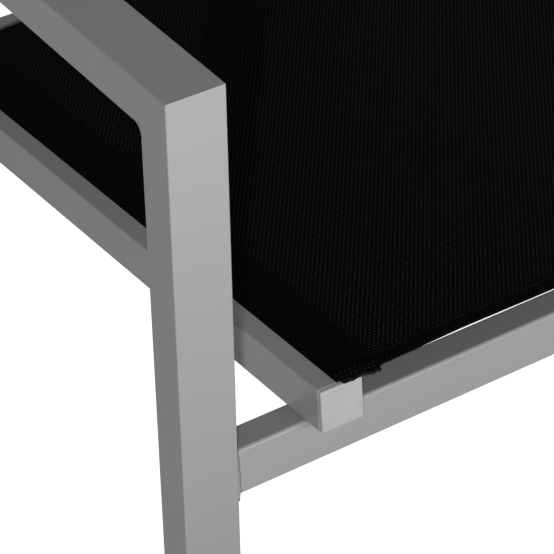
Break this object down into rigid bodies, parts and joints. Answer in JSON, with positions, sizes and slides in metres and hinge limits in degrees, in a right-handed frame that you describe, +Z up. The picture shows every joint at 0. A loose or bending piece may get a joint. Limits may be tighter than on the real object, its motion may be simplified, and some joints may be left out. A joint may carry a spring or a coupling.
{
  "type": "reclining sun lounger",
  "caption": "Armchair-height sun lounger: welded rectangular-tube side frames, slotted seat and back rails with stretched black mesh slings, and a backrest on ratchet hinges.",
  "frame": {"origin": "centre of the overall box, on the floor under the feet", "axes": "+Z up, +Y from the sitter's feet to the backrest, +X across the width, to the right for a viewer standing in front"},
  "size_m": [0.7, 1.1328, 0.8819],
  "materials": {
    "frame_paint": "satin",
    "hinge_casting": "satin",
    "cap_plastic": "satin",
    "glide_plastic": "matte",
    "sling_fabric": "matte",
    "welt_plastic": "matte",
    "bush_plastic": "matte",
    "hardware_steel": "satin"
  },
  "bodies": {
    "frame": {"left_front_leg": "frame_paint", "left_armrest": "frame_paint", "left_rear_leg": "frame_paint", "left_front_glide": "glide_plastic", "left_rear_glide": "glide_plastic", "left_seat_rail": "frame_paint", "left_seat_rail_cap": "cap_plastic", "left_seat_keder_rod": "welt_plastic", "left_hinge_clevis": "hinge_casting", "left_pivot_bolt": "hardware_steel", "left_pawl_pin": "hardware_steel", "left_pawl_spring": "hardware_steel", "right_front_leg": "frame_paint", "right_armrest": "frame_paint", "right_rear_leg": "frame_paint", "right_front_glide": "glide_plastic", "right_rear_glide": "glide_plastic", "right_seat_rail": "frame_paint", "right_seat_rail_cap": "cap_plastic", "right_seat_keder_rod": "welt_plastic", "right_hinge_clevis": "hinge_casting", "right_pivot_bolt": "hardware_steel", "right_pawl_pin": "hardware_steel", "right_pawl_spring": "hardware_steel", "front_crossbar": "frame_paint", "rear_crossbar": "frame_paint", "seat_rear_spreader": "frame_paint", "seat_sling": "sling_fabric", "pivot_washers": "hardware_steel", "pivot_nuts": "hardware_steel", "seat_hinge_screws": "hardware_steel", "seat_rail_bolts": "hardware_steel", "seat_rail_washers": "hardware_steel", "seat_rail_rivet_nuts": "hardware_steel"},
    "backrest": {"left_back_rail": "frame_paint", "left_back_rail_cap": "cap_plastic", "left_back_keder_rod": "welt_plastic", "left_hinge_knuckle": "hinge_casting", "left_pivot_bush": "bush_plastic", "right_back_rail": "frame_paint", "right_back_rail_cap": "cap_plastic", "right_back_keder_rod": "welt_plastic", "right_hinge_knuckle": "hinge_casting", "right_pivot_bush": "bush_plastic", "back_lower_spreader": "frame_paint", "back_upper_spreader": "frame_paint", "back_sling": "sling_fabric", "back_hinge_screws": "hardware_steel"},
    "left_pawl": {"left_pawl": "hardware_steel"},
    "right_pawl": {"right_pawl": "hardware_steel"}
  },
  "joints": [
    {"name": "backrest_recline", "type": "hinge", "parent": "frame", "child": "backrest", "pos_m": [0, 0.08193, 0.30908], "axis": [1, 0, 0], "range_deg": [-40, 20]},
    {"name": "left_pawl_lift", "type": "hinge", "parent": "frame", "child": "left_pawl", "pos_m": [-0.2375, 0.06376, 0.32051], "axis": [-1, 0, 0], "range_deg": [0, 12], "stiffness_Nm_per_rad": 0.4, "springref_deg": -17.19},
    {"name": "right_pawl_lift", "type": "hinge", "parent": "frame", "child": "right_pawl", "pos_m": [0.2375, 0.06376, 0.32051], "axis": [-1, 0, 0], "range_deg": [0, 12], "stiffness_Nm_per_rad": 0.4, "springref_deg": -17.19}
  ]
}
